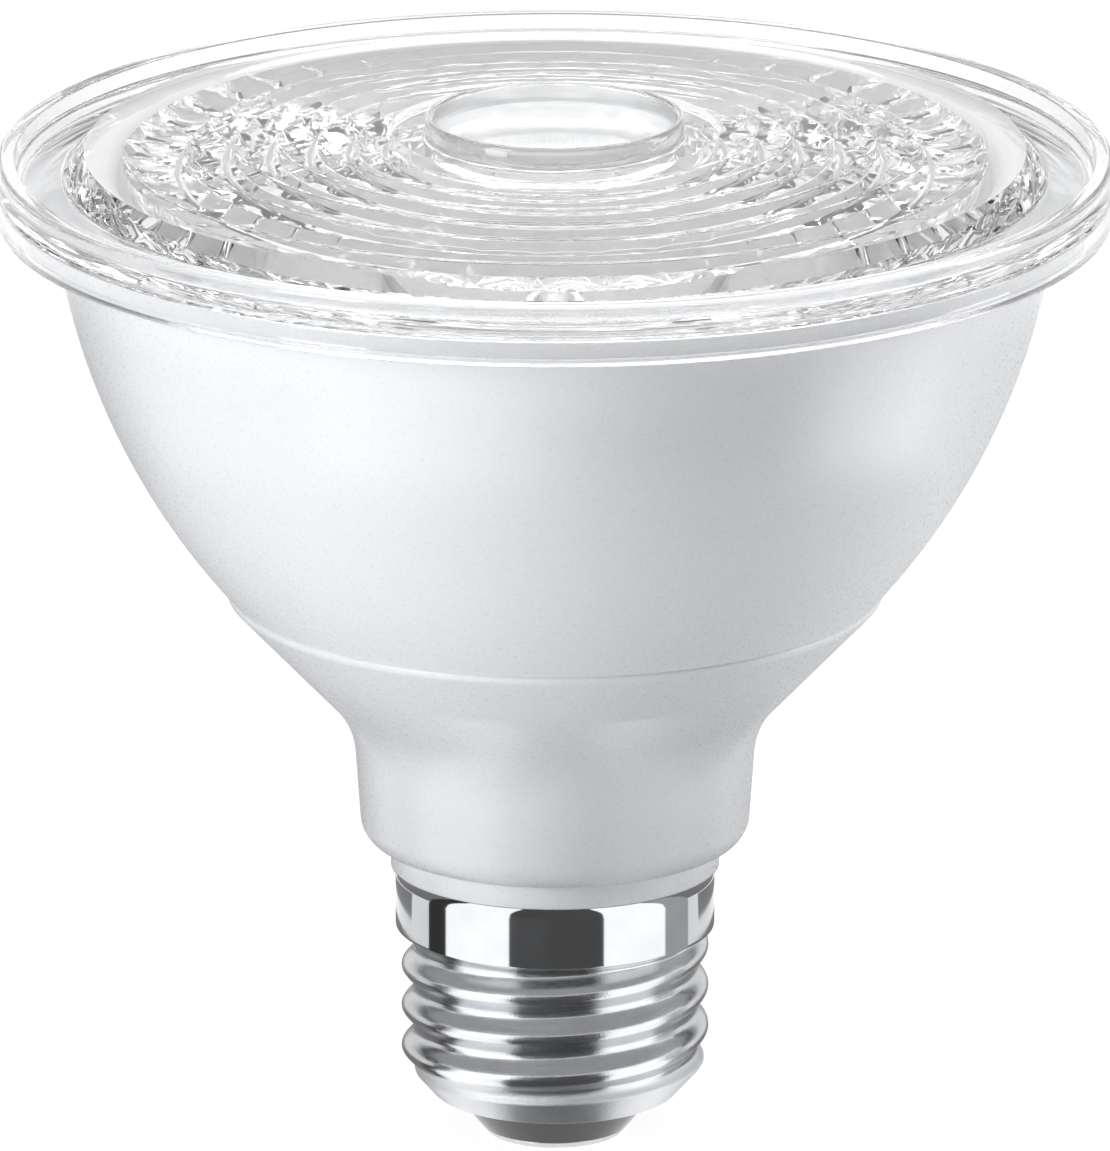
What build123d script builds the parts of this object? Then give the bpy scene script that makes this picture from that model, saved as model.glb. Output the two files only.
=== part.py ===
from build123d import *
import os
from math import atan2, ceil, cos, hypot, radians, sin, sqrt, tan, tau

# Lens of clear plastic, in millimetres
LENS_RADIUS = 47.5
RIM_DEPTH = 5.4
RIM_WIDTH = 1.5
RIM_ROUND = 0.5
RIM_GROOVE_DROP = 2.6
RIM_GROOVE_DEPTH = 0.15
SKIRT_WALL = 2.2
DISC_UNDERSIDE = 3.5
GUTTER_DEPTH = 1.65
GUTTER_WIDTH = 4.0
OPTIC_WALL_RUN = 1.9
OPTIC_BORDER = 3.3
OPTIC_EDGE_HEIGHT = 0.3
DOME_HEIGHT = 2.55
RING_STEP = 0.15
OUTER_BAND = 5.6
RING_COUNT = 5
RING_GROWTH = 1.06
MOAT_RADIUS = 14.1
MOAT_HEIGHT = 1.5
CUP_RADIUS = 11.1
CUP_HEIGHT = 3.5
CUP_LIP = 0.7
CUP_FLOOR_RADIUS = 6.0
CUP_FLOOR_HEIGHT = 0.1
CUP_CURVE_RUN = 0.7
CUP_CURVE_RISE = 0.3
PIP_RADIUS = 0.4
PIP_INSET = 3.7
PIP_TURN = 35.0

# Faceted prisms under the lens
PRISM_FACET_WIDTH = 2.8
PRISM_STEEPNESS = 1.05
PRISM_PLEAT = 0.09
PRISM_TIP = 0.35
PRISM_DRAFT = 0.3
PRISM_ROOT_GAP = 0.15
COLLIMATOR_DEPTH = 4.0
COLLIMATOR_WALL = 2.4
COLLIMATOR_DRAFT = 1.2
COLLIMATOR_ROOF = 1.8

# White housings
WALL = 1.8
FLANGE_THICKNESS = 1.7
BOWL_INSET = 4.7
BOWL_HEIGHT = 32.9
BOWL_ARC_RADIUS = 60.0
SEAM_RADIUS = 28.1
SEAM_BEAD = 0.6
SEAM_ROUND = 0.9
CONE_HEIGHT = 11.4
NECK_HEIGHT = 10.7
NECK_TAPER = 0.75
NECK_STEP = 2.45
NECK_CONE_ROUND = 8.0
NECK_BASE_ROUND = 2.2
COLLAR_HEIGHT = 2.2
SPIGOT_RISE = 3.0
SPIGOT_WALL = 1.8
CAP_SPIGOT_WALL = 1.5
CAP_WIRE_ROOM = 5.3
RAIL_WIDTH = 1.4
RAIL_REACH = 2.6

# Screw cap with a knuckle thread
CAP_HEIGHT = 24.0
CAP_SKIRT_RADIUS = 13.7
CAP_SKIRT_HEIGHT = 5.4
CAP_SHOULDER = 0.9
CAP_LIP = 0.4
CAP_LIP_HEIGHT = 1.0
CAP_LIP_ROUND = 1.3
SHEET = 0.35
THREAD_RADIUS = 13.2
THREAD_PITCH = 3.629
THREAD_ROUND = 1.025
THREAD_FLATS = 40
THREAD_WAVE = 6
THREAD_LEFT_CREST = 7.6
CAP_END_RADIUS = 10.4
CAP_END_HEIGHT = 3.6
CAP_END_ROUND = 0.7
CAP_END_LAND = 1.5
CAP_TAPER = 3.3
INSULATOR_TIP_RADIUS = 6.3
INSULATOR_PLUG = 1.0
CONTACT_RADIUS = 6.0
CONTACT_THICKNESS = 0.55
CONTACT_STEM_RADIUS = 1.6
CONTACT_STEM_RISE = 0.5

# Heat spreader and light source
SPREADER_WALL = 1.5
SPREADER_DEPTH = 18.1
SPREADER_FLOOR_RADIUS = 31.0
SPREADER_RIM = 4.1
SPREADER_LEDGE = 0.6
SPREADER_LENS_GAP = 0.2
SPREADER_FLOOR_BEND = 5.0
SPREADER_RIM_BEND = 1.0
LED_BOARD_THICKNESS = 1.6
LED_BOARD_MARGIN = 0.8
EMITTER_SIDE = 11.0
EMITTER_THICKNESS = 1.0
EMITTER_DOME_RADIUS = 4.4
EMITTER_DOME_RISE = 0.7
SCREW_RADIUS = 1.4
SCREW_HEAD_RADIUS = 2.6
SCREW_HEAD_HEIGHT = 1.7
SCREW_LENGTH = 6.0
BOSS_RADIUS = 2.8

# Driver board and what it carries
BOARD_THICKNESS = 1.6
BOARD_TOP_GAP = 4.5
BOARD_HEAD_INSET = 1.5
BOARD_CORNER = 0.8
PART_SPACING = 1.5
TRANSFORMER_WIDTH = 16.0
TRANSFORMER_HEIGHT = 14.0
TRANSFORMER_CORE_DEPTH = 4.8
TRANSFORMER_LEG = 4.0
TRANSFORMER_YOKE = 2.0
BOBBIN_WALL = 0.8
WINDING_BUILD = 2.0
WINDING_ROUND = 1.4
BULK_RADIUS = 5.0
BULK_LENGTH = 12.0
OUTPUT_RADIUS = 4.0
OUTPUT_LENGTH = 12.0
CAN_GROOVE = 0.5
CAN_GROOVE_DROP = 2.2
FILM_SIZE = (11.0, 5.5, 10.0)
FILM_ROUND = 0.9
CHOKE_RADIUS = 4.0
CHOKE_LENGTH = 9.0
CHOKE_WAIST = 1.2
BRIDGE_SIZE = (6.5, 2.6, 5.0)
CHIP_SIZE = (5.0, 1.75, 4.0)
PACKAGE_BEVEL = 0.4
FUSE_RADIUS = 1.8
FUSE_LENGTH = 8.0
FUSE_CAP = 2.0
FUSE_WAIST = 0.3
LEAD_RADIUS = 0.3
WIRE_RADIUS = 0.6
WIRE_BEND = 1.0

# Clearances
FIT = 0.12
SCREW_FIT = 0.06

# Heights and radii that follow from the sizes above
neck_base = CAP_HEIGHT + COLLAR_HEIGHT
neck_top = neck_base + NECK_HEIGHT
shoulder = neck_top + CONE_HEIGHT
seam = shoulder + SEAM_BEAD
flange_low = seam + BOWL_HEIGHT
seat = flange_low + FLANGE_THICKNESS
rim_top = seat + DISC_UNDERSIDE
bowl_top_radius = LENS_RADIUS - BOWL_INSET
collar_radius = CAP_SKIRT_RADIUS + CAP_LIP
neck_base_radius = collar_radius + NECK_STEP
neck_radius = neck_base_radius + NECK_TAPER
cone_angle = atan2(SEAM_RADIUS - neck_radius, CONE_HEIGHT)
thread_swing = sqrt((2 * THREAD_ROUND) ** 2 - (THREAD_PITCH / 2) ** 2)
thread_depth = 2 * THREAD_ROUND - thread_swing
thread_root = THREAD_RADIUS - thread_depth
cap_bore = thread_root - SHEET
cap_spigot_radius = cap_bore - FIT
cap_spigot_bore = cap_spigot_radius - CAP_SPIGOT_WALL
neck_floor = neck_base + WALL
taper_angle = atan2(THREAD_RADIUS + FIT - CAP_END_RADIUS, CAP_TAPER)
insulator_radius = CAP_END_RADIUS - CAP_END_LAND - FIT
spreader_top = seat - SPREADER_LENS_GAP
spreader_ledge = spreader_top - SPREADER_WALL
spreader_low = spreader_top - SPREADER_DEPTH
spreader_floor = spreader_low + SPREADER_WALL
led_board_top = spreader_floor + LED_BOARD_THICKNESS
board_top = spreader_low - BOARD_TOP_GAP
board_face = BOARD_THICKNESS / 2


def turned(*lines):
    """Solid of revolution whose closed outline these lines draw as (radius, height)."""
    outline = [edge for line in lines for edge in line.edges()]
    return revolve(Plane.XZ * make_face(outline), Axis.Z)


def upright(radius, low, high, x=0.0, y=0.0):
    """Round bar that stands between two heights."""
    return Pos(x, y, low) * Cylinder(radius, high - low, align=(Align.CENTER, Align.CENTER, Align.MIN))


def crown(radius, edge_height, rise):
    """Arc of a round crown that rises from its edge to the axis, or sinks where the rise is negative."""
    sphere = (radius**2 + rise**2) / (2 * abs(rise))
    half_rise = sqrt(sphere**2 - radius**2 / 4) - sphere + abs(rise)
    middle = (radius / 2, edge_height + (half_rise if rise > 0 else -half_rise))
    return ThreePointArc((radius, edge_height), middle, (0, edge_height + rise))


def bowl_centre():
    """Centre of the arc that swells from the seam out to the flange."""
    run = bowl_top_radius - SEAM_RADIUS
    rise = BOWL_HEIGHT
    chord = hypot(run, rise)
    offset = sqrt(BOWL_ARC_RADIUS**2 - chord**2 / 4)
    middle_radius = (bowl_top_radius + SEAM_RADIUS) / 2
    middle_height = (seam + flange_low) / 2
    return middle_radius - offset * rise / chord, middle_height + offset * run / chord


def bowl_radius(height, inset=0.0):
    """Radius of the bowl's wall at a height, this far inside its outer face."""
    centre_radius, centre_height = bowl_centre()
    return centre_radius + sqrt((BOWL_ARC_RADIUS - inset) ** 2 - (centre_height - height) ** 2)


def bowl_arc(low, high, inset=0.0):
    """Stretch of the bowl's arc, seen in section."""
    heights = (low, (low + high) / 2, high)
    return ThreePointArc(*((bowl_radius(height, inset), height) for height in heights))


seam_inner_radius = bowl_radius(seam, WALL)
spigot_radius = seam_inner_radius - FIT
spigot_bore = spigot_radius - SPIGOT_WALL
boss_circle = spigot_bore - BOSS_RADIUS + SPIGOT_WALL / 2
led_board_radius = boss_circle - SCREW_HEAD_RADIUS - LED_BOARD_MARGIN
board_screw_circle = led_board_radius - SCREW_HEAD_RADIUS - LED_BOARD_MARGIN
led_lead_y = board_screw_circle - LED_BOARD_MARGIN
led_lead_x = EMITTER_SIDE / 4
ledge_radius = bowl_radius(spreader_ledge, WALL) + SPREADER_LEDGE
optic_edge = LENS_RADIUS - RIM_WIDTH - GUTTER_WIDTH - OPTIC_WALL_RUN
prism_edge = optic_edge - OPTIC_BORDER


def ring_radii():
    """Edges of the prism rings: widths that grow outwards from the moat, then one broad outer band."""
    span = prism_edge - OUTER_BAND - MOAT_RADIUS
    widths = [RING_GROWTH**i for i in range(RING_COUNT)]
    edges = [MOAT_RADIUS]
    for width in widths:
        edges.append(edges[-1] + span * width / sum(widths))
    return edges + [prism_edge]


def dome_height(radius):
    """Height of the lens's dome above its rim, on a parabola that falls to the optic's edge."""
    share = (radius / optic_edge) ** 2
    return DOME_HEIGHT + (OPTIC_EDGE_HEIGHT - DOME_HEIGHT) * share


def lens_top_points():
    """Stepped dome from the moat out to the gutter, as (radius, height)."""
    points = [(MOAT_RADIUS, rim_top + MOAT_HEIGHT)]
    edges = ring_radii() + [optic_edge]
    for inner, outer in zip(edges, edges[1:]):
        points.append((inner, rim_top + dome_height(inner)))
        points.append((outer, rim_top + dome_height(outer) + RING_STEP))
    return points


def lens_disc():
    """Lens without its prisms: cup, stepped dome, gutter and the rim that hangs over the housing's flange."""
    rim_inner = LENS_RADIUS - RIM_WIDTH
    gutter_floor = rim_top - GUTTER_DEPTH
    groove = rim_top - RIM_GROOVE_DROP
    groove_bottom = LENS_RADIUS - RIM_GROOVE_DEPTH
    cup_floor = rim_top + CUP_FLOOR_HEIGHT
    cup_top = rim_top + CUP_HEIGHT
    lip_inner = CUP_RADIUS - CUP_LIP
    bowl_middle = (
        CUP_FLOOR_RADIUS + CUP_CURVE_RUN * (lip_inner - CUP_FLOOR_RADIUS),
        cup_floor + CUP_CURVE_RISE * (cup_top - cup_floor),
    )
    lip_start = (lip_inner, cup_top - CUP_LIP / 2)
    lip_end = (CUP_RADIUS, cup_top - CUP_LIP / 2)
    rim_round_start = (LENS_RADIUS - RIM_ROUND, rim_top)
    rim_round_end = (LENS_RADIUS, rim_top - RIM_ROUND)
    return turned(
        Line((0, cup_floor), (CUP_FLOOR_RADIUS, cup_floor)),
        ThreePointArc((CUP_FLOOR_RADIUS, cup_floor), bowl_middle, lip_start),
        ThreePointArc(lip_start, (CUP_RADIUS - CUP_LIP / 2, cup_top), lip_end),
        Polyline(
            lip_end,
            (CUP_RADIUS, rim_top + MOAT_HEIGHT),
            *lens_top_points(),
            (optic_edge + OPTIC_WALL_RUN, gutter_floor),
            (rim_inner, gutter_floor),
            (rim_inner, rim_top),
            rim_round_start,
        ),
        RadiusArc(rim_round_start, rim_round_end, RIM_ROUND),
        Polyline(
            rim_round_end,
            (LENS_RADIUS, groove + RIM_GROOVE_DEPTH),
            (groove_bottom, groove),
            (LENS_RADIUS, groove - RIM_GROOVE_DEPTH),
            (LENS_RADIUS, rim_top - RIM_DEPTH),
            (LENS_RADIUS - SKIRT_WALL, rim_top - RIM_DEPTH),
            (LENS_RADIUS - SKIRT_WALL, seat),
            (0, seat),
            (0, cup_floor),
        ),
    )


def facet_ring(count, radius, height, pleat=0.0):
    """Corners of a level ring; a pleat moves them out and in by turns, square to the prisms' slope."""
    corners = []
    for i in range(count):
        out = pleat if i % 2 == 0 else -pleat
        angle = i * tau / count
        reach = radius + out
        corners.append((reach * cos(angle), reach * sin(angle), height - out / PRISM_STEEPNESS))
    return corners


def flat_solid(polygons):
    """Closed solid whose every face is one flat polygon."""
    return Solid(Shell([Face(Wire.make_polygon(polygon)) for polygon in polygons]))


def belt_facets(upper, lower):
    """Flat triangles between two rings of corners, with mirrored diagonals so that they make diamonds."""
    facets = []
    for i in range(len(upper)):
        near, far = (i, (i + 1) % len(upper)) if i % 2 == 0 else ((i + 1) % len(upper), i)
        facets.append([upper[near], upper[far], lower[near]])
        facets.append([upper[far], lower[far], lower[near]])
    return facets


def prism_ring(inner, outer):
    """Ring prism: a steep wall inside, and outside a belt of flat facets that mirror light forward.
    Halfway down the belt its corners stand out and in by turns, so that neighbours face different ways."""
    width = outer - inner
    depth = width * PRISM_STEEPNESS
    foot_radius = outer - PRISM_ROOT_GAP
    tip_radius = inner + PRISM_DRAFT + PRISM_TIP
    count = 2 * round(tau * outer / PRISM_FACET_WIDTH / 2)
    overlap = PRISM_ROOT_GAP
    buried = facet_ring(count, foot_radius, seat + overlap)
    foot = facet_ring(count, foot_radius, seat)
    middle = facet_ring(count, (foot_radius + tip_radius) / 2, seat - depth / 2, PRISM_PLEAT * width)
    tip = facet_ring(count, tip_radius, seat - depth)
    polygons = [buried, tip]
    for upper, lower in ((buried, foot), (foot, middle), (tip, middle)):
        polygons += belt_facets(upper, lower)
    slope = PRISM_DRAFT / depth
    inside_top = inner - slope * overlap
    inside_low = inner + PRISM_DRAFT + slope * overlap
    top, low = seat + 2 * overlap, seat - depth - overlap
    inside = Polyline((0, low), (inside_low, low), (inside_top, top), (0, top), close=True)
    return flat_solid(polygons) - turned(inside)


def collimator():
    """Central cone under the cup, round the pocket for the light source."""
    low = seat - COLLIMATOR_DEPTH
    outer = MOAT_RADIUS - PRISM_ROOT_GAP - PRISM_DRAFT
    top = seat + PRISM_ROOT_GAP
    outline = [(0, low), (outer - COLLIMATOR_DRAFT, low), (outer, seat), (outer, top), (0, top)]
    return turned(Polyline(*outline, close=True))


def collimator_pocket():
    """Pocket over the light source, roofed by a lens that bulges down into it."""
    low = seat - COLLIMATOR_DEPTH - FIT
    mouth = MOAT_RADIUS - COLLIMATOR_DRAFT - COLLIMATOR_WALL
    roof_radius = mouth - PRISM_DRAFT
    roof_low = seat - COLLIMATOR_ROOF
    return turned(
        crown(roof_radius, seat, -COLLIMATOR_ROOF),
        Polyline((0, roof_low), (0, low), (mouth, low), (roof_radius, seat)),
    )


def moulding_pips():
    """Two round pips that the mould leaves on the dome near its edge, left and right of the front."""
    reach = optic_edge - PIP_INSET
    height = rim_top + dome_height(reach)
    turn = radians(PIP_TURN)
    places = [(side * reach * cos(turn), -reach * sin(turn), height) for side in (-1, 1)]
    return [Pos(*place) * Sphere(PIP_RADIUS) for place in places]


def front_lens():
    edges = ring_radii()
    prisms = [prism_ring(inner, outer) for inner, outer in zip(edges, edges[1:])]
    return lens_disc() + [collimator(), *prisms, *moulding_pips()] - collimator_pocket()


def upper_housing():
    """Bowl that flares up to the flange under the lens, with a ledge inside for the heat spreader's rim."""
    flange_radius = LENS_RADIUS - SKIRT_WALL - FIT
    return turned(
        bowl_arc(seam, flange_low),
        Polyline(
            (bowl_top_radius, flange_low),
            (flange_radius, flange_low),
            (flange_radius, seat),
            (ledge_radius, seat),
            (ledge_radius, spreader_ledge),
            (bowl_radius(spreader_ledge, WALL), spreader_ledge),
        ),
        bowl_arc(seam, spreader_ledge, WALL),
        Line((seam_inner_radius, seam), (SEAM_RADIUS, seam)),
    )


def cone_inner_radius(height):
    """Inner face of the lower housing's cone at a height."""
    return neck_radius + (height - neck_top) * tan(cone_angle) - WALL / cos(cone_angle)


def lower_outside():
    """Outer line of the lower housing, from the cap's lip up to the seam."""
    base_round = min(NECK_BASE_ROUND, NECK_STEP - FIT)
    return FilletPolyline(
        (collar_radius, CAP_HEIGHT),
        (collar_radius, neck_base),
        (neck_base_radius, neck_base),
        (neck_radius, neck_top),
        (SEAM_RADIUS, shoulder),
        (SEAM_RADIUS, seam),
        radius=[0, base_round, NECK_CONE_ROUND, SEAM_ROUND],
    )


def lower_housing_shell():
    """Cone, neck and the two spigots, one up into the bowl and one down into the cap."""
    cap_plug = CAP_SKIRT_RADIUS - SHEET - FIT
    plug_low = CAP_HEIGHT - CAP_SKIRT_HEIGHT + SHEET + FIT
    neck_inner_top = neck_top + WALL * tan(cone_angle / 2)
    bore_height = shoulder - (cone_inner_radius(shoulder) - spigot_bore) / tan(cone_angle)
    return turned(
        lower_outside(),
        Polyline(
            (SEAM_RADIUS, seam),
            (spigot_radius, seam),
            (spigot_radius, seam + SPIGOT_RISE),
            (spigot_bore, seam + SPIGOT_RISE),
            (spigot_bore, bore_height),
            (neck_radius - WALL, neck_inner_top),
            (neck_base_radius - WALL, neck_floor),
            (cap_spigot_bore, neck_floor),
            (cap_spigot_bore, cap_spigot_end),
            (cap_spigot_radius, cap_spigot_end),
            (cap_spigot_radius, plug_low),
            (cap_plug, plug_low),
            (cap_plug, CAP_HEIGHT),
            (collar_radius, CAP_HEIGHT),
        ),
    )


def boss_places():
    """Centres of the three screw bosses."""
    turns = (tau / 4, tau * 7 / 12, tau * 11 / 12)
    return [(boss_circle * cos(angle), boss_circle * sin(angle)) for angle in turns]


def screw_boss(x, y):
    """Post from the cone's wall up to the heat spreader, with a blind pilot hole."""
    foot = seam - SPIGOT_WALL
    pilot = upright(SCREW_RADIUS + SCREW_FIT, spreader_low - SCREW_LENGTH, spreader_low, x, y)
    return upright(BOSS_RADIUS, foot, spreader_low, x, y) - pilot


def board_rails():
    """Two pairs of ribs in the neck that hold the driver board by its edges."""
    outer = neck_base_radius - WALL / 2
    inner = neck_base_radius - WALL - RAIL_REACH
    offset = BOARD_THICKNESS / 2 + FIT + RAIL_WIDTH / 2
    size = (outer - inner, RAIL_WIDTH, NECK_HEIGHT - WALL)
    return [
        Pos(side * (outer + inner) / 2, face * offset, neck_floor + size[2] / 2) * Box(*size)
        for side in (-1, 1)
        for face in (-1, 1)
    ]


def lower_housing():
    return lower_housing_shell() + [screw_boss(x, y) for x, y in boss_places()] + board_rails()


def thread_point(column, row):
    """Point of the wound wave: columns go round the axis, rows up one pitch from root to root."""
    column += THREAD_FLATS * (row // THREAD_WAVE)
    row %= THREAD_WAVE
    angle = column * tau / THREAD_FLATS
    height = THREAD_PITCH * (column / THREAD_FLATS + row / THREAD_WAVE)
    radius = thread_root + thread_depth * (1 - cos(row * tau / THREAD_WAVE)) / 2
    return radius * cos(angle), radius * sin(angle), height


def thread_plug(turns):
    """Solid right-hand knuckle thread of flat facets, closed at each end by a fan to the axis."""
    last = turns * THREAD_FLATS
    polygons = []
    for column in range(last):
        for row in range(THREAD_WAVE):
            near, far = thread_point(column, row), thread_point(column + 1, row)
            near_up, far_up = thread_point(column, row + 1), thread_point(column + 1, row + 1)
            polygons.append([near, far, far_up])
            polygons.append([near, far_up, near_up])
    for start, apex_height in ((0, THREAD_PITCH / 2), (last, THREAD_PITCH * (turns + 0.5))):
        root_line = [thread_point(start + i, 0) for i in range(THREAD_FLATS + 1)]
        section = [thread_point(start, row) for row in range(THREAD_WAVE, -1, -1)]
        loop = root_line + section[1:]
        for here, after in zip(loop, loop[1:]):
            polygons.append([here, after, (0, 0, apex_height)])
    return flat_solid(polygons)


def cap_taper(inset, widest):
    """Line of the cap's tapered end, this far inside its face: its low point and its point at a radius."""
    low = CAP_END_HEIGHT + inset
    low_radius = CAP_END_RADIUS + inset * tan(taper_angle) - inset / cos(taper_angle)
    return (low_radius, low), (widest, low + (widest - low_radius) / tan(taper_angle))


def threaded_end():
    """Thread trimmed by the tapered end, so that it runs out on it."""
    low, wide = cap_taper(0.0, THREAD_RADIUS + FIT)
    top = CAP_HEIGHT - CAP_SKIRT_HEIGHT
    turns_below = ceil((THREAD_LEFT_CREST - low[1]) / THREAD_PITCH) + 1
    start = THREAD_LEFT_CREST - turns_below * THREAD_PITCH
    plug = Pos(0, 0, start) * thread_plug(ceil((top - start) / THREAD_PITCH))
    envelope = turned(
        FilletPolyline((0, low[1]), low, wide, (wide[0], top), radius=[CAP_END_ROUND, 0]),
        Polyline((wide[0], top), (0, top), (0, low[1])),
    )
    return plug & envelope


def cap_skirt():
    """Plain skirt above the thread, with a shoulder below and a flared lip above."""
    low = CAP_HEIGHT - CAP_SKIRT_HEIGHT
    lip_start = (CAP_SKIRT_RADIUS, CAP_HEIGHT - CAP_LIP_HEIGHT)
    lip_end = (CAP_SKIRT_RADIUS + CAP_LIP, CAP_HEIGHT)
    return turned(
        Polyline(
            (CAP_SKIRT_RADIUS + CAP_LIP, CAP_HEIGHT),
            (0, CAP_HEIGHT),
            (0, low - CAP_SHOULDER),
            (thread_root, low - CAP_SHOULDER),
            (CAP_SKIRT_RADIUS, low),
            lip_start,
        ),
        RadiusArc(lip_start, lip_end, -CAP_LIP_ROUND),
    )


def cap_cavity():
    """Room inside the cap for the housing's spigot and the insulator."""
    skirt_low = CAP_HEIGHT - CAP_SKIRT_HEIGHT
    skirt_bore = CAP_SKIRT_RADIUS - SHEET
    low, wide = cap_taper(SHEET, cap_bore)
    hole = insulator_radius + FIT
    over = CAP_HEIGHT + SHEET
    outline = [(0, 0), (hole, 0), (hole, low[1]), low, wide, (cap_bore, skirt_low - CAP_SHOULDER + SHEET)]
    outline += [(skirt_bore, skirt_low + SHEET), (skirt_bore, over), (0, over)]
    return turned(Polyline(*outline, close=True))


def screw_shell():
    return threaded_end() + cap_skirt() - cap_cavity()


insulator_top = cap_taper(SHEET + FIT, cap_bore - FIT)[1][1] + INSULATOR_PLUG
cap_spigot_end = insulator_top + CAP_WIRE_ROOM


def base_insulator():
    """Moulded cone that fills the cap's tapered end and keeps the contact off the shell."""
    low, wide = cap_taper(SHEET + FIT, cap_bore - FIT)
    bore = CONTACT_STEM_RADIUS + FIT
    outline = [(bore, CONTACT_THICKNESS), (INSULATOR_TIP_RADIUS, CONTACT_THICKNESS)]
    outline += [(insulator_radius, CAP_END_HEIGHT), (insulator_radius, low[1]), low, wide]
    outline += [(wide[0], insulator_top), (bore, insulator_top)]
    return turned(Polyline(*outline, close=True))


def centre_contact():
    """Contact disc with a rounded edge and the stem that carries the lead."""
    stem_top = insulator_top + CONTACT_STEM_RISE
    disc = upright(CONTACT_RADIUS, 0, CONTACT_THICKNESS)
    disc = fillet(disc.edges().group_by(Axis.Z)[0], CONTACT_THICKNESS / 2)
    return disc + upright(CONTACT_STEM_RADIUS, 0, stem_top)


def lead_places():
    """Where the two leads come up through the heat spreader and its board."""
    return [(side * led_lead_x, led_lead_y) for side in (-1, 1)]


def board_screw_places():
    """Centres of the three screws of the light source's board."""
    turns = (tau / 12, tau * 5 / 12, tau * 9 / 12)
    return [(board_screw_circle * cos(angle), board_screw_circle * sin(angle)) for angle in turns]


def holes(places, radius, low, high):
    """Round cutters that pass through between two heights."""
    return [upright(radius, low - FIT, high + FIT, x, y) for x, y in places]


def heat_spreader():
    """Pressed dish whose turned rim hangs on the bowl's ledge, and whose floor carries the light source."""
    rim_outer = ledge_radius - FIT
    rim_inner = rim_outer - SPREADER_RIM
    lean = atan2(spreader_top - spreader_floor, rim_inner - SPREADER_FLOOR_RADIUS)
    shift = SPREADER_WALL * tan(lean / 2)
    inside = FilletPolyline(
        (0, spreader_floor),
        (SPREADER_FLOOR_RADIUS, spreader_floor),
        (rim_inner, spreader_top),
        (rim_outer, spreader_top),
        radius=[SPREADER_FLOOR_BEND, SPREADER_RIM_BEND + SPREADER_WALL],
    )
    outside = FilletPolyline(
        (0, spreader_low),
        (SPREADER_FLOOR_RADIUS + shift, spreader_low),
        (rim_inner + shift, spreader_ledge),
        (rim_outer, spreader_ledge),
        radius=[SPREADER_FLOOR_BEND + SPREADER_WALL, SPREADER_RIM_BEND],
    )
    dish = turned(
        inside,
        Line((rim_outer, spreader_top), (rim_outer, spreader_ledge)),
        outside,
        Line((0, spreader_low), (0, spreader_floor)),
    )
    screw_hole = SCREW_RADIUS + SCREW_FIT
    dish -= holes(boss_places() + board_screw_places(), screw_hole, spreader_low, spreader_floor)
    return dish - holes(lead_places(), WIRE_RADIUS * 2, spreader_low, spreader_floor)


def led_board():
    """Metal-core disc under the light source."""
    disc = upright(led_board_radius, spreader_floor, led_board_top)
    disc -= holes(board_screw_places(), SCREW_RADIUS + SCREW_FIT, spreader_floor, led_board_top)
    return disc - holes(lead_places(), WIRE_RADIUS * 2, spreader_floor, led_board_top)


def led_emitter():
    """Square base with a low dome of phosphor."""
    top = led_board_top + EMITTER_THICKNESS
    base = Box(EMITTER_SIDE, EMITTER_SIDE, EMITTER_THICKNESS)
    base = Pos(0, 0, led_board_top + EMITTER_THICKNESS / 2) * base
    dome = turned(
        crown(EMITTER_DOME_RADIUS, top, EMITTER_DOME_RISE),
        Polyline((0, top + EMITTER_DOME_RISE), (0, top), (EMITTER_DOME_RADIUS, top)),
    )
    return base + dome


def pan_screw(seat_height, length):
    """Pan-head screw that stands in a hole, its head on this height."""
    edge = seat_height + SCREW_HEAD_HEIGHT / 2
    return turned(
        crown(SCREW_HEAD_RADIUS, edge, SCREW_HEAD_HEIGHT / 2),
        Polyline(
            (0, seat_height + SCREW_HEAD_HEIGHT),
            (0, seat_height - length),
            (SCREW_RADIUS, seat_height - length),
            (SCREW_RADIUS, seat_height),
            (SCREW_HEAD_RADIUS, seat_height),
            (SCREW_HEAD_RADIUS, edge),
        ),
    )


def board_screws():
    length = LED_BOARD_THICKNESS + SPREADER_WALL + SCREW_RADIUS
    return [Pos(x, y) * pan_screw(led_board_top, length) for x, y in board_screw_places()]


def spreader_screws():
    length = SPREADER_WALL + SCREW_LENGTH - SCREW_RADIUS
    return [Pos(x, y) * pan_screw(spreader_floor, length) for x, y in boss_places()]


def driver_board():
    """Upright board: a tail in the cap, a body between the rails and a broad head in the bowl."""
    tail = sqrt((cap_spigot_bore - FIT) ** 2 - board_face**2)
    body = sqrt((neck_base_radius - WALL - FIT) ** 2 - board_face**2)
    head = spigot_bore - BOARD_HEAD_INSET
    right = [(tail, cap_spigot_end), (tail, neck_floor), (body, neck_floor)]
    right += [(body, neck_top), (head, shoulder), (head, board_top)]
    rounds = [BOARD_CORNER, 0, BOARD_CORNER, BOARD_CORNER, BOARD_CORNER, BOARD_CORNER]
    left = [(-x, z) for x, z in reversed(right)]
    outline = FilletPolyline(*right, *left, radius=rounds + rounds[::-1], close=True)
    return extrude(Plane.XZ * make_face(outline.edges()), board_face, both=True)


transformer_low = board_top - TRANSFORMER_HEIGHT - BOARD_THICKNESS
transformer_height = transformer_low + TRANSFORMER_HEIGHT / 2
spool_depth = TRANSFORMER_CORE_DEPTH + 2 * (FIT + BOBBIN_WALL + FIT + WINDING_BUILD)
transformer_y = -(board_face + BOBBIN_WALL + spool_depth / 2)
window_height = TRANSFORMER_HEIGHT - 2 * TRANSFORMER_YOKE
lead_margin = led_lead_x + WIRE_RADIUS + PART_SPACING
window_width = (TRANSFORMER_WIDTH - TRANSFORMER_LEG) / 2 - TRANSFORMER_YOKE


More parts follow.
